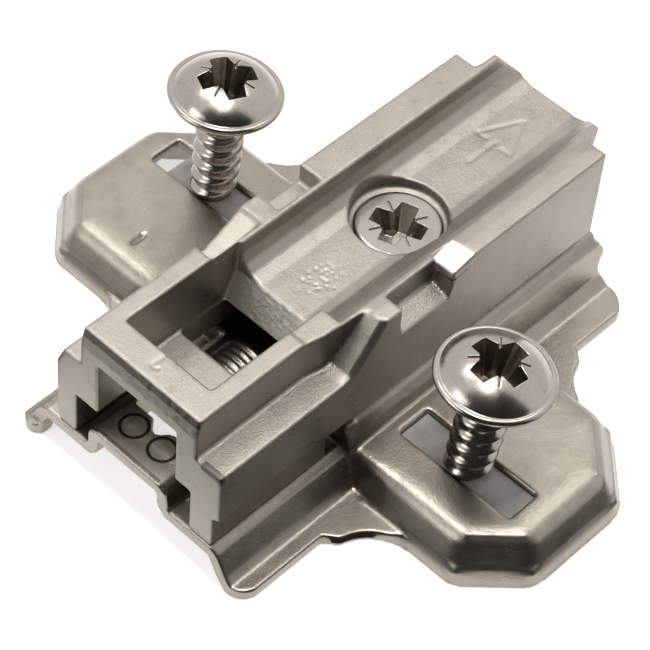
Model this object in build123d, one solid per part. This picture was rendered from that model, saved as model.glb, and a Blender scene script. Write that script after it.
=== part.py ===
from build123d import *
import os
from math import sin, cos, tan, radians, hypot

os.makedirs("parts", exist_ok=True)

# Frame: +X to the hinge arm's rear, +Z away from the cabinet wall, origin on the wall face
SHEET = 1.05
FLANGE_Z = SHEET
PAD_Z = 3.75
RAIL_Z = 5.9

# Base plate, along X
BASE_FRONT = -21.6
BASE_REAR = 19.6
SHELF_END = -8.3
# Base plate, half widths across Y
TONGUE_HALF = 4.0
RAIL_HALF = 8.8
SKIRT_FLARE = 1.55
FLANGE_RIGHT_WIDTH = 1.65
FLANGE_LEFT_WIDTH = 0.65
FLANGE_REAR_WIDTH = 2.75
SKIRT_HALF = RAIL_HALF + SKIRT_FLARE
FLANGE_FRONT_HALF = SKIRT_HALF + FLANGE_RIGHT_WIDTH
FLANGE_LEFT_HALF = SKIRT_HALF + FLANGE_LEFT_WIDTH
FLANGE_REAR_HALF = SKIRT_HALF + FLANGE_REAR_WIDTH
FLANGE_LUG_X = -22.0
FLANGE_CORNER = 1.5
# Wings
SLOT_PITCH = 32.0
WING_FRONT = -9.6
WING_REAR = 9.4
WING_HALF = 25.35
WING_CHAMFER_FRONT = 4.3
WING_CHAMFER_REAR = 4.9
WING_RIM = 0.25
PAD_DRAFT = 1.35
PAD_ROUND = 1.0
MARK_X = -5.4
SLOT_LENGTH = 10.7
SLOT_WIDTH = 3.1
SLOT_STAGGER = 2.72
# Window in the rail and the ribbed arch behind it
WINDOW_FRONT = -17.65
WINDOW_REAR = -6.05
WINDOW_HALF = 3.3
ARCH_FRONT = -12.3
ARCH_REAR = -8.9
ARCH_R = 2.74
RIB_PITCH = 0.59
RIB_HEIGHT = 0.22
DIMPLE_PITCH = 2.92
DIMPLE_X = -19.2
DIMPLE_Y = 0.29
DIMPLE_R = 0.88
DIMPLE_GROOVE = 0.32
WINDOW_NOTCH = 0.9

# Cast body, in its own middle line
BODY_OFFSET = -0.87
BODY_FRONT = -21.5
BODY_REAR = 18.35
BODY_TOP = 15.9
BODY_HALF = 8.27
HEAD_HALF = 5.77
FOOT_HALF = 7.6
FOOT_TOP = 7.3
LEDGE_Z = 12.16
BRIDGE_Z = 13.3
BRIDGE_REAR = -18.63
POCKET_Z = 10.5
POCKET_HALF = 4.2
SLAB_Z = 9.3
CHANNEL_LEFT = 4.06
CHANNEL_RIGHT = -3.8
GROOVE_LEFT = 6.35
GROOVE_RIGHT = -5.35
GROOVE_Z = 8.06
FEET_END = -9.87
TROUGH_Z = 13.05
TROUGH_HALF = 3.86
FLOOR_UNDER = 10.6
HATCH_FRONT = -13.35
HATCH_REAR = -9.1
RAMP_TOP_X = -7.75
SEAT_GAP = 0.05
SHOULDER_X = -5.4
RIM_LEFT = 6.45
LIP_LEFT = 4.3

# Cam screw
CAM_X = 4.4
CAM_Y = -0.55
CAM_HEAD_R = 3.25
CAM_POCKET_R = 3.75
CAM_HEAD_T = 1.1
CAM_HEAD_GAP = 0.06
CAM_TOP = 12.4
JOURNAL_R = 2.85
RUN_GAP = 0.08
PIN_R = 1.2
PIN_THROW = 1.6
PIN_ANGLE = 22.05
PIN_SWING = 38.7
PIN_GAP = 0.08
CAM_MIDDLE = -0.3
RIVET_R = 1.95
RIVET_T = 1.0

# Wood screws
HEAD_R = 4.5
HEAD_RIM_Z = 14.25
RIM_T = 0.6
DOME = 1.6
RECESS = 4.6
CORE_R = 1.25
SHANK_R = 1.5
SCREW_LEAN = 5.0
TIP_Z = 0.7


# Closed outline of a sheet that follows a line of points, the points on its upper face
def sheet_outline(points, thick):
    lower = []
    for i, (y, z) in enumerate(points):
        before = points[max(i - 1, 0)]
        after = points[min(i + 1, len(points) - 1)]
        normals = []
        for (a, b) in ((before, (y, z)), ((y, z), after)):
            length = hypot(b[0] - a[0], b[1] - a[1])
            if length > 1e-6:
                normals.append(((b[1] - a[1]) / length, -(b[0] - a[0]) / length))
        n0, n1 = normals[0], normals[-1]
        k = thick / (1 + n0[0] * n1[0] + n0[1] * n1[1])
        lower.append((y + (n0[0] + n1[0]) * k, z + (n0[1] + n1[1]) * k))
    return list(points) + lower[::-1]


# Outline in the YZ plane, drawn out along X
def along_x(points, x0, x1):
    face = make_face(Polyline(*[(x0, y, z) for y, z in points], close=True))
    return extrude(face, amount=x1 - x0, dir=(1, 0, 0))


# Outline in the XZ plane, drawn out along Y
def along_y(points, y0, y1):
    face = make_face(Polyline(*[(x, y0, z) for x, z in points], close=True))
    return extrude(face, amount=y1 - y0, dir=(0, 1, 0))


def block(x0, x1, y0, y1, z0, z1):
    size = (x1 - x0, y1 - y0, z1 - z0)
    middle = ((x0 + x1) / 2, (y0 + y1) / 2, (z0 + z1) / 2)
    return Pos(*middle) * Box(*size)


def mirrored(points):
    return [(-y, z) for y, z in points[::-1]]


# Rail behind the feet: flat top, curved side walls and low flanges
def rear_rail():
    half = [(RAIL_HALF - 0.6, RAIL_Z), (RAIL_HALF, RAIL_Z - 0.25), (RAIL_HALF + 0.5, RAIL_Z - 1.2),
            (SKIRT_HALF - 0.45, FLANGE_Z + 0.8), (SKIRT_HALF + 0.35, FLANGE_Z)]
    line = half + [(FLANGE_REAR_HALF, FLANGE_Z)]
    points = mirrored(line) + line
    return along_x(sheet_outline(points, SHEET), SHELF_END, BASE_REAR)


# Stepped rail under the feet: middle tongue, a shelf each side and low flanges
def front_rail():
    outer = [(RAIL_HALF - 0.3, PAD_Z), (RAIL_HALF + 0.35, PAD_Z - 0.35),
             (SKIRT_HALF - 0.2, FLANGE_Z + 0.5), (SKIRT_HALF + 0.25, FLANGE_Z)]
    line = [(TONGUE_HALF - 0.8, RAIL_Z), (TONGUE_HALF, RAIL_Z - 0.5),
            (TONGUE_HALF + 0.15, PAD_Z + 0.2), (TONGUE_HALF + 0.35, PAD_Z)] + outer
    points = [(-FLANGE_FRONT_HALF, FLANGE_Z)] + mirrored(line) + line
    points.append((FLANGE_LEFT_HALF, FLANGE_Z))
    rail = along_x(sheet_outline(points, SHEET), BASE_FRONT, SHELF_END + 0.2)
    lug = Rectangle(2.0, 2.0)
    lug = fillet(lug.vertices(), 0.9)
    middle = (FLANGE_LUG_X + 1.0, FLANGE_LEFT_HALF - 1.0, 0)
    rail += Pos(*middle) * extrude(lug, amount=FLANGE_Z)
    for side in (-1, 1):
        inner, outer = sorted((side * (TONGUE_HALF - 0.2), side * (RAIL_HALF + 0.1)))
        rail += block(SHELF_END, SHELF_END + SHEET, inner, outer, PAD_Z - SHEET, RAIL_Z)
    return rail


# One wing: eight-sided dished pad with a narrow low rim
def wing_face(margin, corner):
    reach = WING_HALF - margin
    front = WING_FRONT + margin
    rear = WING_REAR - margin
    cut_f = WING_CHAMFER_FRONT - margin * 0.4
    cut_r = WING_CHAMFER_REAR - margin * 0.4
    outline = [(front, 0), (front, reach - cut_f), (front + cut_f, reach), (rear - cut_r, reach),
               (rear, reach - cut_r), (rear, 0)]
    face = make_face(Polyline(*outline, close=True))
    far = [v for v in face.vertices() if v.Y > 1]
    return fillet(far, corner)


# Dished pad with drafted sides and a rounded top edge
def dished_pad(margin, z_top, edge_round):
    low = Pos(0, 0, -1) * wing_face(margin, 2.2)
    high = Pos(0, 0, z_top) * wing_face(margin + PAD_DRAFT, 1.9)
    pad = loft([low, high])
    if edge_round:
        top = pad.faces().sort_by(Axis.Z)[-1]
        pad = fillet([e for e in top.edges() if e.center().Y > 1], edge_round)
    return pad


def wings_solid():
    rim = extrude(wing_face(0, 2.6), amount=FLANGE_Z)
    pad = dished_pad(WING_RIM, PAD_Z, PAD_ROUND)
    one = rim + (pad & block(-20, 20, 0, 40, 0, 10))
    return one + mirror(one, Plane.XZ)


def wings_hollow():
    one = dished_pad(WING_RIM + SHEET * 0.9, PAD_Z - SHEET, 0)
    return one + mirror(one, Plane.XZ)


# Blends between the flanges and the wings
def flange_blends():
    solid = None
    reach = 5.0
    for side in (-1, 1):
        front_half = FLANGE_FRONT_HALF if side < 0 else FLANGE_LEFT_HALF
        for x_dir, half in ((-1, front_half), (1, FLANGE_REAR_HALF)):
            x0 = WING_FRONT if x_dir < 0 else WING_REAR
            y0 = side * half
            corner = [(x0 - x_dir * 2, y0 - side * 2), (x0 + x_dir * reach * 0.8, y0 - side * 2),
                      (x0 + x_dir * reach * 0.8, y0), (x0, y0 + side * reach),
                      (x0 - x_dir * 2, y0 + side * reach)]
            web = extrude(make_face(Polyline(*corner, close=True)), amount=FLANGE_Z)
            hole = Pos(x0 + x_dir * reach * 0.8, y0 + side * reach, 0) * Cylinder(
                reach * 0.8, 4 * SHEET)
            web = web - hole
            solid = web if solid is None else solid + web
    return solid


# Half-round ribbed arch over the middle of the rail
def ribbed_arch():
    middle = RAIL_Z - SHEET / 2
    count = int((ARCH_REAR - ARCH_FRONT) / RIB_PITCH)
    root = ARCH_R - RIB_HEIGHT
    line = [(ARCH_FRONT, ARCH_R - SHEET), (ARCH_FRONT, root)]
    for i in range(count):
        x = ARCH_FRONT + 0.2 + i * RIB_PITCH
        line += [(x, root), (x + RIB_PITCH / 2, ARCH_R)]
    line += [(ARCH_REAR, root), (ARCH_REAR, ARCH_R - SHEET)]
    face = make_face(Polyline(*[(x, 0, r) for x, r in line], close=True))
    ring = revolve(face, Axis.X, 360)
    ring = ring & block(ARCH_FRONT, ARCH_REAR, -4, 4, 0, 4)
    return Pos(0, 0, middle) * ring


def base_plate():
    plate = rear_rail() + front_rail() + wings_solid() + flange_blends()
    plate -= wings_hollow()
    # the whole rail is hollow below, under the shelves and under the tongue too
    inner = RAIL_HALF - SHEET
    tongue = TONGUE_HALF - SHEET
    plate -= block(SHELF_END + SHEET, BASE_REAR + 1, -inner, inner, -1, RAIL_Z - SHEET)
    plate -= block(BASE_FRONT - 1, SHELF_END + 2 * SHEET, -inner, inner, -1, PAD_Z - SHEET)
    plate -= block(BASE_FRONT - 1, SHELF_END + 2 * SHEET, -tongue, tongue, -1, RAIL_Z - SHEET)
    plate -= block(WINDOW_FRONT, ARCH_FRONT, -WINDOW_HALF, WINDOW_HALF, 0, RAIL_Z + 1)
    plate -= block(ARCH_REAR, WINDOW_REAR, -WINDOW_HALF, WINDOW_HALF, 0, RAIL_Z + 1)
    plate -= Pos((ARCH_FRONT + ARCH_REAR) / 2, 0, RAIL_Z - SHEET / 2) * Rot(0, 90, 0) * Cylinder(
        ARCH_R - SHEET, ARCH_REAR - ARCH_FRONT + 0.02)
    plate += ribbed_arch()
    # small notch in the window's front edge, between the two round marks
    notch = [(WINDOW_FRONT + 0.1, DIMPLE_Y - 1.1), (WINDOW_FRONT + 0.1, DIMPLE_Y + 1.1),
             (WINDOW_FRONT - WINDOW_NOTCH, DIMPLE_Y + 0.3), (WINDOW_FRONT - WINDOW_NOTCH, DIMPLE_Y - 0.3)]
    cut = make_face(Polyline(*notch, close=True))
    plate -= Pos(0, 0, RAIL_Z - 2 * SHEET) * extrude(cut, amount=3 * SHEET)
    for x0, x_dir, half, side in ((BASE_FRONT, 1, FLANGE_FRONT_HALF, -1),
                                  (BASE_REAR, -1, FLANGE_REAR_HALF, -1),
                                  (BASE_REAR, -1, FLANGE_REAR_HALF, 1)):
        plate -= corner_cut(x0, side * half, x_dir, -side, FLANGE_CORNER)
    for side in (-1, 1):
        slot = block(-SLOT_WIDTH / 2, SLOT_WIDTH / 2, -SLOT_LENGTH / 2, SLOT_LENGTH / 2, 0, PAD_Z + 1)
        plate -= Pos(side * SLOT_STAGGER, side * SLOT_PITCH / 2, 0) * slot
        dimple = Pos(DIMPLE_X, side * DIMPLE_PITCH / 2 + DIMPLE_Y, RAIL_Z)
        plate -= dimple * (Cylinder(DIMPLE_R + DIMPLE_GROOVE, 0.6) - Cylinder(DIMPLE_R, 0.7))
    plate -= cam_slot()
    plate -= Pos(MARK_X, SLOT_PITCH / 2 - 0.13, PAD_Z) * Box(1.6, 0.42, 0.5)
    return plate


# What is taken off a corner of a flange to round it
def corner_cut(x, y, x_dir, y_dir, radius):
    low = (min(x, x + x_dir * radius), min(y, y + y_dir * radius))
    high = (max(x, x + x_dir * radius), max(y, y + y_dir * radius))
    chip = block(low[0], high[0], low[1], high[1], -1, FLANGE_Z + 1)
    return chip - Pos(x + x_dir * radius, y + y_dir * radius, 0) * Cylinder(radius, 6 * SHEET)


# Slot in the rail for the cam screw's pin
def cam_slot():
    throw_near = PIN_THROW * cos(radians(PIN_SWING))
    middle = CAM_X + (PIN_THROW + throw_near) / 2
    length = PIN_THROW - throw_near + 2 * (PIN_R + PIN_GAP + 0.1)
    face = SlotOverall(length, 2 * (PIN_R + PIN_GAP))
    return Pos(middle, CAM_Y + CAM_MIDDLE, RAIL_Z - 2) * extrude(face, amount=3)


# Outer form of the cast body: low ledges, a narrow head in front, a wide rear
def body_blank():
    low = [(-FOOT_HALF, PAD_Z + SEAT_GAP), (-FOOT_HALF, FOOT_TOP - 0.4), (-BODY_HALF, FOOT_TOP),
           (-BODY_HALF, LEDGE_Z)]
    head = [(-HEAD_HALF, LEDGE_Z), (-HEAD_HALF, BODY_TOP)]
    left_low = [(-BODY_HALF + 0.2, PAD_Z + SEAT_GAP), (-BODY_HALF, 5.0), (-BODY_HALF, 10.3),
                (-7.5, LEDGE_Z)]
    solid = along_x(low + head + mirrored(left_low + head), BODY_FRONT, FEET_END)
    low[0] = (-FOOT_HALF, RAIL_Z + SEAT_GAP)
    left_low[:2] = [(-FOOT_HALF, RAIL_Z + SEAT_GAP), (-BODY_HALF, 7.2)]
    solid += along_x(low + head + mirrored(left_low + head), FEET_END, SHOULDER_X)
    right = low[:3] + [(-BODY_HALF, BODY_TOP)]
    left = left_low + [(-RIM_LEFT, LEDGE_Z), (-RIM_LEFT, BODY_TOP)]
    solid += along_x(right + mirrored(left), SHOULDER_X, BODY_REAR)
    return solid


# Shoulders where the narrow head meets the wide rear: the right one is a ramp with a bevelled edge
def shoulders():
    low_z = LEDGE_Z - 0.5
    end = SHOULDER_X + 0.1
    ramp = [(-9.5, LEDGE_Z), (-8.7, 12.4), (-7.9, 13.2), (-7.1, 14.05), (-6.4, 14.95), (-5.65, BODY_TOP)]
    edge = [(-9.1, LEDGE_Z), (-8.4, 12.3), (-7.6, 12.95), (-6.8, 13.75), (-6.1, 14.6), (-5.4, 15.5)]
    solid = along_y([(-9.5, low_z)] + ramp + [(end, BODY_TOP), (end, low_z)], -BODY_HALF + 0.4, -5.3)
    inner = outline_at(ramp, end, -BODY_HALF + 0.4, BODY_TOP, low_z)
    outer = outline_at(edge, end, -BODY_HALF, 15.5, low_z)
    solid += loft([inner, outer], ruled=True)
    solid += flared_wall(-1, BODY_TOP)
    solid += flared_wall(1, BODY_TOP)
    return solid


# Face in the XZ plane at one Y, closed behind and below a line of points
def outline_at(line, end, y, z_top, z_low):
    points = [(line[0][0], z_low)] + line + [(end, z_top), (end, z_low)]
    return make_face(Polyline(*[(x, y, z) for x, z in points], close=True))


# Head wall spreading out towards a shoulder
def flared_wall(side, z_top):
    outline = [(-11.2, side * (HEAD_HALF - 0.05)), (-9.6, side * (HEAD_HALF + 0.3)),
               (SHOULDER_X + 0.1, side * RIM_LEFT), (SHOULDER_X + 0.1, side * 5.0),
               (-11.2, side * 5.0)]
    face = make_face(Polyline(*outline, close=True))
    return Pos(0, 0, LEDGE_Z - 0.5) * extrude(face, amount=z_top - LEDGE_Z + 0.5)


# Long trough in the top, open at the rear, with a steep left and a soft right side
def trough():
    section = [(TROUGH_HALF, BODY_TOP + 1), (TROUGH_HALF - 0.1, TROUGH_Z + 1.7),
               (3.4, TROUGH_Z + 0.8), (2.7, TROUGH_Z + 0.25), (1.7, TROUGH_Z), (-2.6, TROUGH_Z),
               (-3.5, TROUGH_Z + 0.2), (-4.2, TROUGH_Z + 0.75), (-4.9, TROUGH_Z + 1.6),
               (-5.5, BODY_TOP - 0.55), (-6.1, BODY_TOP - 0.15), (-7.2, BODY_TOP + 0.01),
               (-7.2, BODY_TOP + 1)]
    return along_x(section, RAMP_TOP_X, BODY_REAR + 8)


def cast_body():
    body = body_blank() + shoulders()
    # rear nose for the arm's catch
    nose = [(BODY_REAR - 1, BODY_TOP), (19.95, BODY_TOP), (22.0, 13.45), (21.6, 11.6),
            (BODY_REAR - 1, 11.0)]
    body += along_y(nose, -4.9, 4.45)
    # rear ends of the rims, notched
    body -= block(17.9, BODY_REAR + 0.1, 4.5, 9, LEDGE_Z, BODY_TOP + 1)
    body -= trough()
    # pocket behind the bridge, and the steep rough ramp up to the trough
    floor_line = [(BRIDGE_REAR, BODY_TOP + 1), (BRIDGE_REAR, POCKET_Z), (HATCH_REAR, POCKET_Z),
                  (RAMP_TOP_X, TROUGH_Z), (RAMP_TOP_X, BODY_TOP + 1)]
    body -= along_y(floor_line, -POCKET_HALF, POCKET_HALF)
    # hatch through the pocket floor
    body -= block(HATCH_FRONT, HATCH_REAR, -POCKET_HALF, POCKET_HALF - 0.15, 6, POCKET_Z + 1)
    # hollow underside
    body -= block(BODY_FRONT - 1, BRIDGE_REAR, CHANNEL_RIGHT, CHANNEL_LEFT, 0, BRIDGE_Z)
    body -= block(BRIDGE_REAR - 0.1, HATCH_REAR, CHANNEL_RIGHT, CHANNEL_LEFT, 0, SLAB_Z)
    body -= block(HATCH_REAR - 0.1, 15.5, CHANNEL_RIGHT, CHANNEL_LEFT, 0, FLOOR_UNDER)
    body -= block(BODY_FRONT - 1, 15.5, GROOVE_RIGHT, GROOVE_LEFT, 0, GROOVE_Z)
    # boss and seat of the cam screw
    body += Pos(CAM_X, CAM_Y, 0) * boss()
    up = (Align.CENTER, Align.CENTER, Align.MIN)
    body -= Pos(CAM_X + 0.1, CAM_Y + 0.1, CAM_TOP - 0.25) * Cylinder(CAM_POCKET_R, 4, align=up)
    body -= Pos(CAM_X, CAM_Y, CAM_TOP - CAM_HEAD_T) * Cylinder(
        CAM_HEAD_R + CAM_HEAD_GAP, 4, align=up)
    body -= Pos(CAM_X, CAM_Y, 0) * Cylinder(JOURNAL_R + RUN_GAP, 40)
    # bright slant on the left shoulder, outside a thin lip
    slant = [(-10.3, BODY_TOP + 1), (-10.3, 14.3), (-9.9, 14.35), (SHOULDER_X + 0.1, 15.65),
             (SHOULDER_X + 0.1, BODY_TOP + 1)]
    body -= along_y(slant, LIP_LEFT, 7.0)
    body -= block(-11.1, SHOULDER_X, -7.0, -POCKET_HALF + 0.1, BODY_TOP - 0.15, BODY_TOP + 1)
    # rough band along the front edge of the head
    band = [(BODY_FRONT - 1, BODY_TOP - 1.4), (BODY_FRONT, BODY_TOP - 1.4),
            (BODY_FRONT + 0.35, BODY_TOP), (BODY_FRONT + 0.35, BODY_TOP + 1),
            (BODY_FRONT - 1, BODY_TOP + 1)]
    body -= along_y(band, -7, 7)
    # step notches in both rims
    body -= along_x([(-9, 13.5), (-6.5, 14.5), (-6.5, 17), (-9, 17)], -3.73, 1.58)
    body -= block(-3.48, 0.83, LIP_LEFT, 9, 14.16, 17)
    return Pos(0, BODY_OFFSET, 0) * body


def boss():
    ring = Cylinder(JOURNAL_R + 1.1, FLOOR_UNDER + 0.5 - RAIL_Z - 0.3,
                    align=(Align.CENTER, Align.CENTER, Align.MIN))
    return Pos(0, 0, RAIL_Z + 0.3) * ring


# Cross recess with four arms
def cross_recess(arm, width, depth):
    cut = None
    for turn in (0, 90):
        low = Rectangle(arm * 0.62, width * 0.7)
        bar = loft([Pos(0, 0, 0.05) * Rectangle(arm, width), Pos(0, 0, -depth) * low])
        bar = Rot(0, 0, turn) * bar
        cut = bar if cut is None else cut + bar
    return cut


def cam_screw():
    down = (Align.CENTER, Align.CENTER, Align.MAX)
    screw = Pos(0, 0, CAM_TOP) * Cylinder(CAM_HEAD_R, CAM_HEAD_T - 0.03, align=down)
    screw = chamfer(screw.edges().sort_by(Axis.Z)[-1], 0.25)
    journal_top = CAM_TOP - CAM_HEAD_T + 0.1
    screw += Pos(0, 0, journal_top) * Cylinder(JOURNAL_R, journal_top - RAIL_Z - 0.08, align=down)
    offset = Pos(PIN_THROW * cos(radians(PIN_ANGLE)), PIN_THROW * sin(radians(PIN_ANGLE)), 0)
    pin_end = RAIL_Z - SHEET - 0.1 - RIVET_T
    screw += offset * Pos(0, 0, RAIL_Z + 0.5) * Cylinder(PIN_R, RAIL_Z + 0.5 - pin_end, align=down)
    screw += offset * Pos(0, 0, pin_end + RIVET_T) * Cylinder(RIVET_R, RIVET_T, align=down)
    screw -= Pos(0, 0, CAM_TOP) * Rot(0, 0, 18) * cross_recess(4.3, 1.15, 2.2)
    return Pos(CAM_X, BODY_OFFSET + CAM_Y, 0) * screw


# Wood screw, head up, its shank between the thread's core and crests
def wood_screw():
    top = HEAD_RIM_Z + DOME
    under = HEAD_RIM_Z - RIM_T
    line = [(0, top), (RECESS / 2, top - DOME * 0.2), (HEAD_R * 0.85, HEAD_RIM_Z),
            (HEAD_R, HEAD_RIM_Z), (HEAD_R, under), (SHANK_R, under - HEAD_R * 0.4),
            (SHANK_R, PAD_Z + 0.6), (CORE_R, PAD_Z), (CORE_R, PAD_Z - 0.6), (0, TIP_Z)]
    screw = revolve(make_face(Polyline(*[(r, 0, z) for r, z in line], close=True)), Axis.Z, 360)
    screw -= Pos(0, 0, top) * cross_recess(RECESS, RECESS * 0.32, 2.5)
    return screw


def leaned(piece, side):
    seat = Pos(side * SLOT_STAGGER, side * SLOT_PITCH / 2, PAD_Z)
    twist = Rot(0, SCREW_LEAN * 0.7, 0) * Rot(SCREW_LEAN * 0.7, 0, 0)
    return seat * twist * Pos(0, 0, -PAD_Z) * piece


# Plastic holder that fills a slot and grips the screw's tip
def holder(side):
    gap = 0.05
    under = PAD_Z - SHEET - gap
    outer = SLOT_LENGTH / 2 - (gap if side < 0 else 1.6)
    body = block(-SLOT_WIDTH / 2 + gap, SLOT_WIDTH / 2 - gap, -SLOT_LENGTH / 2 + gap,
                 outer, under - 0.5, PAD_Z - 0.5)
    body += block(-SLOT_WIDTH / 2 - 0.6, SLOT_WIDTH / 2 + 0.6, -SLOT_LENGTH / 2 - 0.3,
                  outer, under - 1.0, under)
    body = Pos(side * SLOT_STAGGER, side * SLOT_PITCH / 2, 0) * Rot(0, 0, 90 - 90 * side) * body
    return body - leaned(Cylinder(CORE_R + gap, 30), side)


def write(name, solids):
    export_step(Compound(label=name, children=list(solids)), "parts/" + name + ".step")


write("base_plate", [base_plate()])
write("cast_body", [cast_body()])
write("cam_screw", [cam_screw()])
write("wood_screws", [leaned(wood_screw(), -1), leaned(wood_screw(), 1)])
write("screw_holders", [holder(-1), holder(1)])
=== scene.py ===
import bpy
import bmesh
from math import sin, cos, pi, radians
from mathutils import Matrix, Vector, noise

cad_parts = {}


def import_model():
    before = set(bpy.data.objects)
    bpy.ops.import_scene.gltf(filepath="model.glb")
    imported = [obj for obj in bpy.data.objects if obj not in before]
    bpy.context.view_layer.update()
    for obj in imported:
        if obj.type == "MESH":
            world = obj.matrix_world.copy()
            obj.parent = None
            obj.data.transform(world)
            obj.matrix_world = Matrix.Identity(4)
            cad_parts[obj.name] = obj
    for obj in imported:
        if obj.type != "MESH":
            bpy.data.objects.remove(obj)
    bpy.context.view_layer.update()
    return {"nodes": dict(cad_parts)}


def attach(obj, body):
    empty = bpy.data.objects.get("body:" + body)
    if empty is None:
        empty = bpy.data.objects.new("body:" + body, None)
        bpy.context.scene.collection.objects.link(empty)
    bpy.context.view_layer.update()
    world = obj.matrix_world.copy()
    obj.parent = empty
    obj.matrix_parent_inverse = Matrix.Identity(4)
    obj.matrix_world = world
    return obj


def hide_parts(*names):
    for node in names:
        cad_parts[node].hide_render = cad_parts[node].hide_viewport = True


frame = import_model()
NODES = frame["nodes"]

# Lengths are in millimetres unless a name says otherwise
MM = 0.001

# Pressed plate: wings, pads, slots and rail
WING_X = (-9.6, 9.4)
WING_Y = 25.35
WING_CHAMFERS = (4.3, 4.9)
DIAGONAL = 0.707
PAD_Z = 3.75
SLOT_X = 2.72
SLOT_Y = 16.0
RAIL_Z = 5.9
SHEET = 1.05
CLOSED_WINDOW = ((-9.1, -3.4, 4.85), (-5.9, 3.4, 5.9))

# Screws and the height cam
RIM_Z = 14.25
DOME = 1.6
CREST_R = 1.93
CORE_R = 1.4
PITCH = 1.44
LEAN = 3.5
LEFT_RIGHTED = 1.8
CAM_XY = (4.4, -1.42)
CAM_TOP = 12.4
CAM_THROW = 1.6
CAM_ANGLE = 22.05

# Marks in the casting, as lines x, y to x, y
ARROW = ((12.4, -1.15, 15.3, -1.15), (15.1, 0.5, 18.6, -1.15), (18.6, -1.15, 15.1, -2.85),
         (15.1, -0.35, 15.1, 0.5), (15.1, -1.95, 15.1, -2.85))
SCRIBES = ((-20.1, -0.72, -18.75, -0.82), (-20.15, -0.95, -19.95, -1.3))
RINGS = ((-19.2, 1.75), (-19.2, -1.17))
RING_R = 1.06
RING_HALF = 0.13

# Zones painted over the metal: ranges of x, y and z, then the colour
# Painted light: the tongue under the head is painted lighter than its shade
TONGUE_PAINTED_LIGHT = (((-21.15, -16.5), (-4.2, 4.2), (5.6, 9)), (0.7, 0.655, 0.59))
# Painted shade: the plate's top under the arch is painted dark
ARCH_PAINTED_SHADE = (((-12.6, -8.7), (-3.2, 3.2), (5.5, 9)), (0.22, 0.2, 0.17))
# Dark bands painted along the front edge of the head and of the ledge
FRONT_EDGE = (((-22, -21.12), (-9, 9), (15.2, 16)), (0.15, 0.138, 0.12))
LEDGE_EDGE = (((-22, -21.0), (-10, -7.2), (11.6, 12.5)), (0.15, 0.138, 0.12))
# Painted highlight: the facet behind the right notch is painted near white
FACET_PAINTED_HIGHLIGHT = (((1.5, 3.75), (-9, -6.98), (14.9, 16.2)), (0.7, 0.675, 0.635))
# Painted light: the rough ramp is painted lighter
RAMP_PAINTED_LIGHT = (((-9.6, -7.7), (-4.95, 3.2), (10.45, 13.0)), (0.72, 0.68, 0.62))
# Painted shade of the ring grooves on the tongue
RING_PAINTED_SHADE = (0.09, 0.08, 0.07)


def clamp(value, low=0.0, high=1.0):
    return min(high, max(low, value))


# Node tree of a material or a world
class Nodes:
    def __init__(self, owner):
        owner.use_nodes = True
        self.owner = owner
        self.tree = owner.node_tree
        self.tree.nodes.clear()

    def new(self, kind, **settings):
        node = self.tree.nodes.new(kind)
        for key, value in settings.items():
            setattr(node, key, value)
        return node

    # Give a socket a number, a colour or another node's output
    def put(self, value, socket):
        if isinstance(value, (int, float)):
            socket.default_value = value
        elif isinstance(value, tuple):
            socket.default_value = (*value, 1)
        else:
            self.tree.links.new(value, socket)

    def mm_coords(self):
        coords = self.new("ShaderNodeTexCoord")
        scale = self.new("ShaderNodeMapping")
        scale.inputs["Scale"].default_value = (1000, 1000, 1000)
        self.put(coords.outputs["Object"], scale.inputs["Vector"])
        return scale.outputs["Vector"]

    def noise(self, at, scale, detail=3.0, rough=0.5):
        node = self.new("ShaderNodeTexNoise")
        node.inputs["Scale"].default_value = scale
        node.inputs["Detail"].default_value = detail
        node.inputs["Roughness"].default_value = rough
        self.put(at, node.inputs["Vector"])
        return node.outputs["Fac"]

    def ramp(self, share, stops):
        node = self.new("ShaderNodeValToRGB")
        elements = node.color_ramp.elements
        while len(elements) < len(stops):
            elements.new(0.5)
        for element, (place, color) in zip(elements, stops):
            element.position = place
            element.color = (*color, 1)
        self.put(share, node.inputs["Fac"])
        return node.outputs["Color"]

    def math(self, operation, *values):
        node = self.new("ShaderNodeMath", operation=operation)
        for value, socket in zip(values, node.inputs):
            self.put(value, socket)
        return node.outputs[0]

    def mix(self, share, a, b, blend="MIX"):
        node = self.new("ShaderNodeMix", data_type="RGBA", blend_type=blend)
        for key, value in ((0, share), (6, a), (7, b)):
            self.put(value, node.inputs[key])
        return node.outputs[2]

    def bump(self, height, distance, normal=None):
        node = self.new("ShaderNodeBump")
        node.inputs["Strength"].default_value = 1.0
        node.inputs["Distance"].default_value = distance
        self.put(height, node.inputs["Height"])
        if normal is not None:
            self.put(normal, node.inputs["Normal"])
        return node.outputs["Normal"]

    def axes(self, at):
        node = self.new("ShaderNodeSeparateXYZ")
        self.put(at, node.inputs[0])
        return node.outputs

    # Mask of a box
    def within(self, at, box):
        inside = 1.0
        for out, (low, high) in zip(self.axes(at), box):
            part = self.math("MULTIPLY", self.math("GREATER_THAN", out, low),
                             self.math("LESS_THAN", out, high))
            inside = self.math("MULTIPLY", part, inside)
        return inside

    # Mask of a thin ring on the tongue
    def ring(self, at, x, y):
        axes = self.axes(at)
        dx = self.math("SUBTRACT", axes[0], x)
        dy = self.math("SUBTRACT", axes[1], y)
        squares = self.math("ADD", self.math("MULTIPLY", dx, dx), self.math("MULTIPLY", dy, dy))
        off = self.math("ABSOLUTE", self.math("SUBTRACT", self.math("SQRT", squares), RING_R))
        top = self.math("GREATER_THAN", axes[2], RAIL_Z - 0.7)
        return self.math("MULTIPLY", top, self.math("LESS_THAN", off, RING_HALF))

    # Whether a ray comes from the camera, a mirror or a clear piece
    def seen(self):
        path = self.new("ShaderNodeLightPath").outputs
        clear = self.math("MAXIMUM", path["Is Glossy Ray"], path["Is Transmission Ray"])
        return self.math("MAXIMUM", path["Is Camera Ray"], clear)

    def finish(self, surface, kind="ShaderNodeOutputMaterial"):
        self.put(surface, self.new(kind).inputs["Surface"])
        return self.owner


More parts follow.
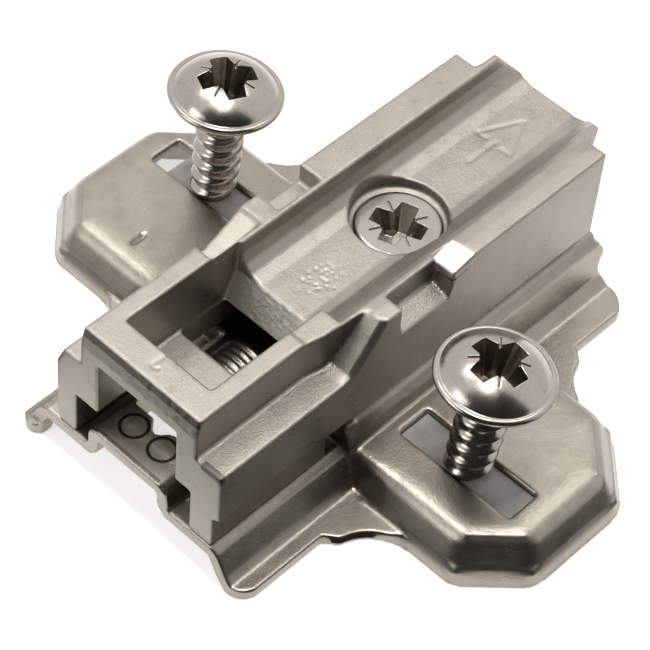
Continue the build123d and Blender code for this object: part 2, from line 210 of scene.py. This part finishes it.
# Soft mottling and small specks over the base colour
def plated_color(n, at, base, mottle, grain_scale):
    dark = tuple(c * 0.88 for c in base)
    light = tuple(min(1.0, c * 1.08) for c in base)
    color = n.ramp(mottle, [(0.3, dark), (0.5, base), (0.72, light)])
    specks = n.noise(at, grain_scale * 0.6, 2.0, 0.6)
    tone = n.ramp(specks, [(0.25, (1.12, 1.12, 1.12)), (0.45, (1, 1, 1)), (0.6, (1, 1, 1)),
                           (0.72, (0.88, 0.87, 0.85))])
    return n.mix(0.6, color, tone, "MULTIPLY")


# Painted shade: crevices are darkened by ambient occlusion
def paint_crevice_shade(n, color, share):
    near = n.new("ShaderNodeAmbientOcclusion", samples=6)
    near.inputs["Distance"].default_value = 0.0012
    shade = n.ramp(near.outputs["AO"], [(0.0, (0.42, 0.38, 0.34)), (0.7, (1, 1, 1))])
    return n.mix(share, color, shade, "MULTIPLY")


# Painted highlight: edges are lightened where the bevel normal turns away, standing in for their
# shine
def paint_edge_highlight(n, color, base, edge_normal):
    turn = n.new("ShaderNodeVectorMath", operation="DOT_PRODUCT")
    n.put(edge_normal, turn.inputs[0])
    n.put(n.new("ShaderNodeNewGeometry").outputs["Normal"], turn.inputs[1])
    edge_highlight = n.ramp(turn.outputs["Value"], [(0.8, (1, 1, 1)), (0.995, (0, 0, 0))])
    bright = tuple(min(1.0, c * 1.7) for c in base)
    return n.mix(n.math("MULTIPLY", edge_highlight, 0.6), color, bright)


def metal_surface(n, color, rough, normal):
    bsdf = n.new("ShaderNodeBsdfPrincipled")
    bsdf.inputs["Metallic"].default_value = 1.0
    n.put(color, bsdf.inputs["Base Color"])
    n.put(rough, bsdf.inputs["Roughness"])
    n.put(normal, bsdf.inputs["Normal"])
    return bsdf.outputs["BSDF"]


# Plated metal; heights and the edge radius are in metres, haze is the share of a duller surface
def metal(name, base, rough, grain_height, lump_height, edge, grain_scale, haze=0.0, crevice_shade=0.35,
          zones=(), rings=()):
    n = Nodes(bpy.data.materials.new(name))
    at = n.mm_coords()
    mottle = n.noise(at, 0.45, 4.0, 0.6)
    grain = n.noise(at, grain_scale, 3.0, 0.6)
    lumps = n.noise(at, 1.6, 3.0, 0.5)
    bevel = n.new("ShaderNodeBevel", samples=6)
    bevel.inputs["Radius"].default_value = edge
    edge_normal = bevel.outputs["Normal"]

    color = plated_color(n, at, base, mottle, grain_scale)
    # Painted shade in crevices
    color = paint_crevice_shade(n, color, crevice_shade)
    # Painted highlight along the edges
    color = paint_edge_highlight(n, color, base, edge_normal)
    # Zones of painted light, painted shade and painted highlight, and the dark edge bands
    for box, tone in zones:
        color = n.mix(n.within(at, box), color, tone)
    # Painted shade in the ring grooves
    for x, y in rings:
        color = n.mix(n.ring(at, x, y), color, RING_PAINTED_SHADE)

    dull = n.math("MULTIPLY_ADD", mottle, 0.16, rough - 0.12)
    dull = n.math("MULTIPLY_ADD", grain, 0.08, dull)
    normal = n.bump(lumps, lump_height, edge_normal)
    normal = n.bump(grain, grain_height, normal)
    surface = metal_surface(n, color, dull, normal)
    if haze:
        both = n.new("ShaderNodeMixShader")
        both.inputs[0].default_value = haze
        n.put(surface, both.inputs[1])
        n.put(metal_surface(n, color, n.math("ADD", dull, 0.38), normal), both.inputs[2])
        surface = both.outputs[0]
    return n.finish(surface)


# Milky plastic of the screw holders
def plastic(name):
    n = Nodes(bpy.data.materials.new(name))
    at = n.mm_coords()
    cloud = n.noise(at, 0.8)
    fine = n.noise(at, 9.0, 2.0)
    color = n.ramp(cloud, [(0.3, (0.33, 0.315, 0.295)), (0.7, (0.46, 0.442, 0.418))])
    bsdf = n.new("ShaderNodeBsdfPrincipled")
    bsdf.inputs["Subsurface Weight"].default_value = 0.2
    bsdf.inputs["Subsurface Radius"].default_value = (0.0008, 0.0008, 0.0008)
    n.put(color, bsdf.inputs["Base Color"])
    n.put(n.math("MULTIPLY_ADD", fine, 0.15, 0.35), bsdf.inputs["Roughness"])
    n.put(n.bump(fine, 0.000006), bsdf.inputs["Normal"])
    return n.finish(bsdf.outputs["BSDF"])


STEEL = metal("nickel_sheet", (0.35, 0.315, 0.268), 0.24, 0.000026, 0.00001, 0.00018, 8.0,
              haze=0.15, zones=(TONGUE_PAINTED_LIGHT, ARCH_PAINTED_SHADE), rings=RINGS)
ZINC = metal("nickel_casting", (0.375, 0.34, 0.296), 0.3, 0.000034, 0.00002, 0.0002, 10.0,
             haze=0.3, zones=(RAMP_PAINTED_LIGHT, FRONT_EDGE, LEDGE_EDGE, FACET_PAINTED_HIGHLIGHT))
# The screw's recess gets strong painted shade
SCREW = metal("bright_screw", (0.41, 0.372, 0.333), 0.205, 0.000004, 0.000003, 0.0001, 7.0,
              crevice_shade=0.9)
MILKY = plastic("milky_plastic")


def mesh_object(name, verts, faces, material, smooth=True):
    mesh = bpy.data.meshes.new(name)
    mesh.from_pydata(verts, [], faces)
    mesh.validate()
    mesh.materials.append(material)
    ob = bpy.data.objects.new(name, mesh)
    bpy.context.scene.collection.objects.link(ob)
    shade_smooth(ob, smooth)
    return ob


def shade_smooth(ob, smooth=True):
    for face in ob.data.polygons:
        face.use_smooth = smooth


def apply_modifiers(ob):
    depsgraph = bpy.context.evaluated_depsgraph_get()
    mesh = bpy.data.meshes.new_from_object(ob.evaluated_get(depsgraph))
    ob.modifiers.clear()
    ob.data = mesh


# Turn all faces outwards, after merging doubled points where a distance is given
def face_outwards(ob, merge=0.0):
    bm = bmesh.new()
    bm.from_mesh(ob.data)
    if merge:
        bmesh.ops.remove_doubles(bm, verts=bm.verts, dist=merge)
        bmesh.ops.dissolve_degenerate(bm, dist=merge, edges=bm.edges)
    bmesh.ops.recalc_face_normals(bm, faces=bm.faces)
    bm.to_mesh(ob.data)
    bm.free()


# Keep edges sharp where the faces turn by more than this angle in degrees
def keep_sharp(ob, angle):
    bm = bmesh.new()
    bm.from_mesh(ob.data)
    for edge in bm.edges:
        if len(edge.link_faces) == 2 and edge.calc_face_angle(0) > radians(angle):
            edge.smooth = False
    bm.to_mesh(ob.data)
    bm.free()


def join(name, objects):
    bm = bmesh.new()
    for ob in objects:
        bm.from_mesh(ob.data)
    mesh = bpy.data.meshes.new(name)
    bm.to_mesh(mesh)
    bm.free()
    for material in objects[0].data.materials:
        mesh.materials.append(material)
    joined = bpy.data.objects.new(name, mesh)
    bpy.context.scene.collection.objects.link(joined)
    for ob in objects:
        bpy.data.objects.remove(ob)
    return joined


def cut(ob, cutters):
    for cutter in cutters:
        mod = ob.modifiers.new("cut", "BOOLEAN")
        mod.operation = "DIFFERENCE"
        mod.solver = "EXACT"
        mod.object = cutter
    apply_modifiers(ob)
    for cutter in cutters:
        bpy.data.objects.remove(cutter)
    shade_smooth(ob)


def add_box(mesh, low, high):
    bm = bmesh.new()
    bm.from_mesh(mesh)
    for vert in bmesh.ops.create_cube(bm, size=1.0)["verts"]:
        vert.co = Vector([a + (b - a) * (c + 0.5) for a, b, c in zip(low, high, vert.co)]) * MM
    bm.to_mesh(mesh)
    bm.free()


def reshape(ob, move):
    for vert in ob.data.vertices:
        vert.co = Vector(move(vert.co / MM)) * MM


# Softened copy of a pressed or cast node: every edge and corner gets its radius
def softened(node, name, voxel, passes, triangles, material, before, after, extra=None):
    ob = bpy.data.objects.new(name, NODES[node].data.copy())
    bpy.context.scene.collection.objects.link(ob)
    if extra:
        add_box(ob.data, *extra)
    weld = ob.modifiers.new("weld", "WELD")
    weld.merge_threshold = 0.000001
    remesh = ob.modifiers.new("remesh", "REMESH")
    remesh.mode = "VOXEL"
    remesh.voxel_size = voxel
    apply_modifiers(ob)
    reshape(ob, before)
    soft = ob.modifiers.new("soft", "SMOOTH")
    soft.factor = 0.5
    soft.iterations = passes
    apply_modifiers(ob)
    reshape(ob, after)
    count = len(ob.data.polygons) * 2
    if count > triangles:
        thin = ob.modifiers.new("thin", "DECIMATE")
        thin.ratio = triangles / count
        apply_modifiers(ob)
    ob.data.materials.clear()
    ob.data.materials.append(material)
    shade_smooth(ob)
    level = ob.modifiers.new("level", "WEIGHTED_NORMAL")
    level.keep_sharp = False
    apply_modifiers(ob)
    return ob


# Rear ends of the skirts: a small ear half way up, the wall below it set back
def rear_end(at):
    share = clamp((at.x - 17.5) / 2.1)
    ear = clamp(1.0 - abs(at.z - 3.9) / 0.8) * 0.5
    back = clamp(1.0 - abs(at.z - 2.4) / 1.0) * 0.35
    corner = clamp((abs(at.y) - 11.3) / 1.2) * 0.5 if at.z < 1.4 else 0.0
    out = ear - back + 0.35 - corner if at.z < 4.9 else 0.0
    return at.x + share * out, at.y, at.z


# How far a point is past each edge of its wing, with the direction out of that edge
def wing_edges(x, y):
    edges = []
    for edge, way, chamfer in zip(WING_X, (-1, 1), WING_CHAMFERS):
        past = (x - edge) * way
        edges.append((past, way, 0.0))
        edges.append(((past + abs(y) - WING_Y + chamfer) * DIAGONAL, way * DIAGONAL, DIAGONAL))
    edges.append((abs(y) - WING_Y, 0.0, 1.0))
    return edges


# Walls of the wings: one smooth fall from the rolled top edge to the outline
def pressed(at):
    if at.x > 17.5 and abs(at.y) > 7.6:
        return rear_end(at)
    side = clamp((abs(at.y) - 11.5) / 2.0)
    if side == 0 or at.z < 0.08:
        return at
    edges = wing_edges(at.x, at.y)
    past = max(edge[0] for edge in edges)
    inside = -past
    roll = clamp((3.6 - inside) / 2.2)
    sunk = 0.34 * side * roll * roll * clamp((at.z - 1.2) / 2.4)
    if at.z > 3.7:
        return at.x, at.y, at.z - sunk

    rise = max(0.0, at.z - SHEET)
    above_rim = clamp((at.z - 0.7) / 0.3)
    wall = clamp(inside, 0.0, 0.83) * above_rim + rise * 0.285
    if inside > wall + 0.55 or inside < -0.35:
        return at
    weights = [2.718 ** (2.5 * (edge[0] - past)) for edge in edges]
    out_x = sum(w * edge[1] for w, edge in zip(weights, edges)) / sum(weights)
    out_y = sum(w * edge[2] for w, edge in zip(weights, edges)) / sum(weights)
    height = min(at.z, SHEET) + 0.5 * clamp(inside / 0.83) * above_rim + rise * 0.815
    target = 0.12 + 1.48 * (height / PAD_Z) ** 1.2
    share = side * clamp((inside + 0.35) / 0.25)
    out = (wall - target) * share
    side_y = 1 if at.y > 0 else -1
    return (at.x + out_x * out, at.y + out_y * out * side_y,
            at.z - sunk + (height - at.z) * share)


# The tongue is level inside its rings
def level_rings(at):
    near = min((at.x - x) ** 2 + (at.y - y) ** 2 for x, y in RINGS)
    level = near < 2.2 and abs(at.z - RAIL_Z) < 0.4
    return (at.x, at.y, RAIL_Z) if level else at


# Right notch with a deeper floor, and the facet behind it
def cast_notch(at):
    x, y, z = at
    if -3.6 < x < 1.48 and y < -7.1 and 10.5 < z < 14.8:
        z -= 0.85 * clamp((z - 10.5) / 2.8)
    if 1.5 < x < 3.8 and y < -6.95 and z > 14.9:
        z -= (3.8 - x) * 0.2 + (-6.95 - y) * 0.03
    return x, y, z


def gap_to(x, y, line):
    ax, ay, bx, by = line
    dx, dy = bx - ax, by - ay
    along = clamp(((x - ax) * dx + (y - ay) * dy) / (dx * dx + dy * dy))
    return ((x - ax - dx * along) ** 2 + (y - ay - dy * along) ** 2) ** 0.5


# Depth of the arrow and the cast pits in the trough's floor
def trough_marks(x, y):
    depth = max(clamp((0.24 - gap_to(x, y, line)) / 0.14) * 0.05 for line in ARROW)
    spot = ((x + 4.3) / 2.2) ** 2 + ((y + 1.7) / 1.5) ** 2
    if spot < 1:
        pit = noise.noise(Vector((x * 3.6, y * 3.6, 4.0)))
        depth = max(depth, clamp((pit - 0.25) / 0.2) * 0.09 * clamp((1 - spot) * 2))
    return depth


# Fine marks of the casting: arrow, pits, scribed lines, rough ramp and rough front edge
def cast_marks(at):
    x, y, z = at
    if 12.5 < z < 14 and x > -7:
        z -= trough_marks(x, y)
    if z > 15.4 and x < -18:
        z -= sum(clamp((0.2 - gap_to(x, y, line)) / 0.12) * 0.06 for line in SCRIBES)
    if -9.5 < x < -7.6 and abs(y + 0.87) < 4.3 and 10.3 < z < 13.2:
        lump = noise.noise(Vector((x * 4.2, y * 4.2, z * 4.2))) * 0.03
        x, z = x - lump * 0.8, z + lump * 0.6
    if x < -21.0 and z > 14.3:
        x += 0.05 * noise.noise(Vector((9.0, y * 2.2, z * 2.2))) + 0.02
    return x, y, z


# Solid of revolution from radius and height points
def turned(name, profile, segments, material):
    verts = []
    faces = []
    for r, z in profile:
        for i in range(segments):
            a = 2 * pi * i / segments
            verts.append((r * cos(a) * MM, r * sin(a) * MM, z * MM))
    last = (len(profile) - 1) * segments
    for row in range(0, last, segments):
        for i in range(segments):
            k = (i + 1) % segments
            faces.append((row + i, row + k, row + segments + k, row + segments + i))
    faces.append(tuple(range(segments))[::-1])
    faces.append(tuple(range(last, last + segments)))
    return mesh_object(name, verts, faces, material)


# Tapered cutter: the outline at its top, scaled by spread, and at its foot, scaled by shrink
def tapered(name, outline, z_top, z_low, shrink, spread=1.0):
    n = len(outline)
    verts = [(x * spread * MM, y * spread * MM, z_top * MM) for x, y in outline]
    verts += [(x * shrink * MM, y * shrink * MM, z_low * MM) for x, y in outline]
    faces = [tuple(range(n)), tuple(range(2 * n - 1, n - 1, -1))]
    for i in range(n):
        k = (i + 1) % n
        faces.append((i, n + i, n + k, k))
    cutter = mesh_object(name, verts, faces, SCREW, False)
    face_outwards(cutter)
    return cutter


def rotated(points, angle):
    return [(x * cos(angle) - y * sin(angle), x * sin(angle) + y * cos(angle)) for x, y in points]


# Cross recess with waisted arms and four ticks between them
def recess_cutters(name, z, arm, width, depth, tick_depth):
    quarter = ((arm / 2, -width * 0.5), (arm / 2, width * 0.5),
               (width * 0.82, width * 0.58), (width * 0.58, width * 0.82))
    tick = ((0.5, -0.09), (2.35, -0.09), (2.35, 0.09), (0.5, 0.09))
    outline = []
    for q in range(4):
        outline += rotated(quarter, q * pi / 2)
    cutters = [tapered(name, outline, z + 0.3, z - depth, 0.5, 1.06)]
    for q in range(4):
        place = rotated(tick, q * pi / 2 + pi / 4)
        cutters.append(tapered(name + "_tick", place, z + 0.3, z - tick_depth, 0.97))
    return cutters


# One turn of the thread: share of the pitch and of the thread's height
THREAD = ((0.0, 0.0), (0.10, 0.0), (0.20, 0.06), (0.30, 0.25), (0.42, 0.86), (0.48, 1.0),
          (0.53, 0.98), (0.62, 0.55), (0.72, 0.16), (0.82, 0.02), (0.92, 0.0))


# Shank with a helical thread, thinning out towards the tip
def threaded_shank(name, z_top, z_low):
    segments = 56
    turns = int((z_top - z_low) / PITCH) + 3
    rows = turns * len(THREAD)
    verts = []
    faces = []
    for i in range(segments + 1):
        a = 2 * pi * i / segments
        for j in range(rows):
            turn, k = divmod(j, len(THREAD))
            along, height = THREAD[k]
            z = clamp(z_low + (turn - 1.5 + along + i / segments) * PITCH, z_low, z_top)
            grow = clamp((z - z_low) / 6.0) ** 0.6
            fade = clamp((z_top - z) / 0.9)
            taper = min(1.0, 0.12 + (z - z_low) / 3.2)
            r = CORE_R * taper + (CREST_R - CORE_R) * height * (0.35 + 0.65 * grow) * fade
            verts.append((r * cos(a) * MM, r * sin(a) * MM, z * MM))
    for i in range(segments):
        for j in range(rows - 1):
            a = i * rows + j
            b = a + rows
            faces.append((a, b, b + 1, a + 1))
    ob = mesh_object(name, verts, faces, SCREW)
    face_outwards(ob, 0.0000005)
    return ob


# Radius and height over the rim: dome, rolled rim, then the neck below
SCREW_HEAD = ((0.02, 1.6), (0.8, 1.57), (1.6, 1.44), (2.2, 1.26), (2.8, 0.99), (3.25, 0.72),
              (3.6, 0.46), (3.85, 0.22), (4.0, 0.05), (4.07, 0), (4.14, 0.01), (4.26, 0.02),
              (4.38, -0.03), (4.49, -0.16), (4.49, -0.36), (4.41, -0.51), (4.24, -0.58),
              (3.35, -0.9), (2.45, -1.4), (2.0, -1.9), (1.8, -2.3), (1.7, -2.5), (0.02, -2.5))


# Fixing screw leaning in its holder; side is -1 on the right wing and 1 on the left
def fixing_screw(name, side):
    profile = [(r, RIM_Z + z) for r, z in SCREW_HEAD]
    head = turned(name + "_head", profile, 96, SCREW)
    cut(head, recess_cutters(name + "_recess", RIM_Z + DOME, 4.7, 1.5, 3.4, 0.5))
    keep_sharp(head, 32)
    ob = join(name, [head, threaded_shank(name + "_shank", RIM_Z - 2.2, 0.75)])
    tip = LEAN if side < 0 else LEAN - LEFT_RIGHTED
    spin = 85 if side < 0 else 65
    seat = Matrix.Translation(Vector((side * SLOT_X, side * SLOT_Y, PAD_Z)) * MM)
    down = Matrix.Translation(Vector((0, 0, -PAD_Z)) * MM)
    lean = Matrix.Rotation(radians(LEAN), 4, "Y") @ Matrix.Rotation(radians(tip), 4, "X")
    ob.data.transform(seat @ lean @ down @ Matrix.Rotation(radians(spin), 4, "Z"))
    return ob


# Height cam: recessed head, shaft down to the rail and the eccentric pin below
def cam_piece(name):
    foot = RAIL_Z + 0.08
    profile = ((0.02, CAM_TOP), (2.6, CAM_TOP), (2.9, CAM_TOP - 0.005), (3.05, CAM_TOP - 0.01),
               (3.19, CAM_TOP - 0.06), (3.25, CAM_TOP - 0.18), (3.25, CAM_TOP - 0.95),
               (3.2, CAM_TOP - 1.06), (2.85, CAM_TOP - 1.07), (2.85, foot), (0.02, foot))
    head = turned(name, profile, 96, SCREW)
    cut(head, recess_cutters(name + "_recess", CAM_TOP, 4.3, 1.4, 2.2, 0.14))
    keep_sharp(head, 30)
    head.data.transform(Matrix.Rotation(radians(18), 4, "Z"))
    pin = turned(name + "_pin", ((0.02, 6.0), (1.2, 6.0), (1.2, 4.7), (1.9, 4.7), (1.95, 4.6),
                                 (1.9, 3.95), (1.4, 3.76), (0.02, 3.75)), 48, SCREW)
    keep_sharp(pin, 30)
    a = radians(CAM_ANGLE)
    pin.data.transform(Matrix.Translation(Vector((CAM_THROW * cos(a), CAM_THROW * sin(a), 0)) * MM))
    ob = join(name + "_all", [head, pin])
    ob.data.transform(Matrix.Translation(Vector((*CAM_XY, 0)) * MM))
    return ob


# White floor that keeps the part's shadow
def floor():
    n = Nodes(bpy.data.materials.new("floor"))
    diffuse = n.new("ShaderNodeBsdfDiffuse")
    diffuse.inputs["Color"].default_value = (0.82, 0.82, 0.82, 1)
    glow = n.new("ShaderNodeEmission")
    glow.inputs["Color"].default_value = (1, 1, 1, 1)
    n.put(n.math("MULTIPLY", n.seen(), 0.62), glow.inputs["Strength"])
    both = n.new("ShaderNodeAddShader")
    n.put(diffuse.outputs[0], both.inputs[0])
    n.put(glow.outputs[0], both.inputs[1])
    n.finish(both.outputs[0])
    half = 900
    sheet("floor", (-half, half, -half, half), -0.02, n.owner)


# Flat sheet on the ground
def sheet(name, box, z, material):
    x0, x1, y0, y1 = box
    corners = [(x * MM, y * MM, z * MM) for x, y in ((x0, y0), (x1, y0), (x1, y1), (x0, y1))]
    ob = mesh_object(name, corners, [(0, 1, 2, 3)], material, False)
    return ob


# White surroundings, dimmer where they only light the part
def world():
    n = Nodes(bpy.data.worlds.new("studio"))
    bpy.context.scene.world = n.owner
    back = n.new("ShaderNodeBackground")
    n.put(n.mix(n.seen(), (0.34, 0.34, 0.34), (1, 1, 1)), back.inputs["Color"])
    n.finish(back.outputs[0], "ShaderNodeOutputWorld")


# Square lamps: name, place and width in metres, watts
LAMPS = (("key", (0.16, 0.20, 0.42), 0.30, 0.06),
         ("top", (0.0, 0.0, 0.5), 0.14, 1.1),
         ("top_left", (0.0, 0.205, 0.455), 0.12, 0.4),
         ("top_right", (0.245, 0.0, 0.435), 0.12, 0.2),
         ("side", (-0.34, 0.12, 0.24), 0.20, 0.32))
LAMP_AIM = (0, 0, 0.008)


def lamp(name, place, width, watts):
    light = bpy.data.lights.new(name, "AREA")
    light.shape = "SQUARE"
    light.size = width
    light.energy = watts
    ob = bpy.data.objects.new(name, light)
    ob.location = place
    ob.rotation_mode = "QUATERNION"
    ob.rotation_quaternion = (Vector(LAMP_AIM) - Vector(place)).to_track_quat("-Z", "Y")
    bpy.context.scene.collection.objects.link(ob)


# Profile of the curved card in metres, radius and height, and its span in degrees
CARD = ((0.030, 0.0004), (0.45, 0.0004), (0.45, 0.10), (0.42, 0.25), (0.30, 0.42), (0.17, 0.50))
CARD_START = 165
CARD_SPAN = 125
CARD_STEPS = 24


def card_paint(name, tone):
    n = Nodes(bpy.data.materials.new(name))
    flat = n.new("ShaderNodeBsdfDiffuse")
    flat.inputs["Color"].default_value = (tone, tone * 0.93, tone * 0.85, 1)
    return n.finish(flat.outputs[0])


def curved_card(material):
    verts = []
    faces = []
    for i in range(CARD_STEPS + 1):
        a = radians(CARD_START + CARD_SPAN * i / CARD_STEPS)
        verts += [(r * cos(a), r * sin(a), z) for r, z in CARD]
    rows = len(CARD)
    for i in range(CARD_STEPS):
        for j in range(rows - 1):
            k = rows * i + j
            faces.append((k, k + rows, k + rows + 1, k + 1))
    card = mesh_object("card", verts, faces, material)
    return card


# Curved card and flat ones on the ground, all seen in the metal only
def cards():
    dark = card_paint("dark_card", 0.05)
    grey = card_paint("grey_card", 0.2)
    made = [curved_card(dark),
            sheet("card_front_right", (-60, -10.6, -60, -12.6), 0.3, dark),
            sheet("card_grey_left", (-60, -10.6, 13.5, 60), 0.3, grey),
            sheet("card_right", (-10.6, 60, -60, -26.2), 0.3, dark)]
    for card in made:
        card.visible_camera = False
        card.visible_shadow = False
        card.visible_diffuse = False


CAMERA_AT = (-0.10282, -0.08453, 0.16230)
CAMERA_LOOK = (0.4929, 0.4098, -0.7676)
CAMERA_ROLL = 5.696
LENS = 151.98
SENSOR = 36


def camera():
    data = bpy.data.cameras.new("camera")
    data.sensor_width = SENSOR
    data.lens = LENS
    data.clip_start = 0.01
    data.clip_end = 10
    roll = radians(CAMERA_ROLL)
    look = Vector(CAMERA_LOOK).normalized()
    level = look.cross(Vector((0, 0, 1))).normalized()
    rise = level.cross(look)
    right = level * cos(roll) + rise * sin(roll)
    up = rise * cos(roll) - level * sin(roll)
    basis = Matrix((right, up, -look)).transposed().to_4x4()
    basis.translation = Vector(CAMERA_AT)
    ob = bpy.data.objects.new("camera", data)
    ob.matrix_world = basis
    bpy.context.scene.collection.objects.link(ob)
    bpy.context.scene.camera = ob


VOXEL = 0.00013

casting = softened("cast_body", "casting", VOXEL * 0.92, 3, 195000, ZINC, cast_notch, cast_marks)
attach(casting, "carrier")
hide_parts("cast_body")

plate = softened("base_plate", "pressed_plate", VOXEL, 6, 190000, STEEL, pressed, level_rings,
                 CLOSED_WINDOW)
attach(plate, "base")
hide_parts("base_plate")

for label, side in (("screw_right", -1), ("screw_left", 1)):
    screw = fixing_screw(label, side)
    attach(screw, "base")
    if side < 0:
        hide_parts("wood_screws")

cam = cam_piece("cam")
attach(cam, "cam")
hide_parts("cam_screw")

holders = NODES["screw_holders"]
holders.data.materials.clear()
holders.data.materials.append(MILKY)

floor()
world()
for name, place, width, watts in LAMPS:
    lamp(name, place, width, watts)
cards()
camera()
bpy.context.scene.view_settings.view_transform = "Standard"
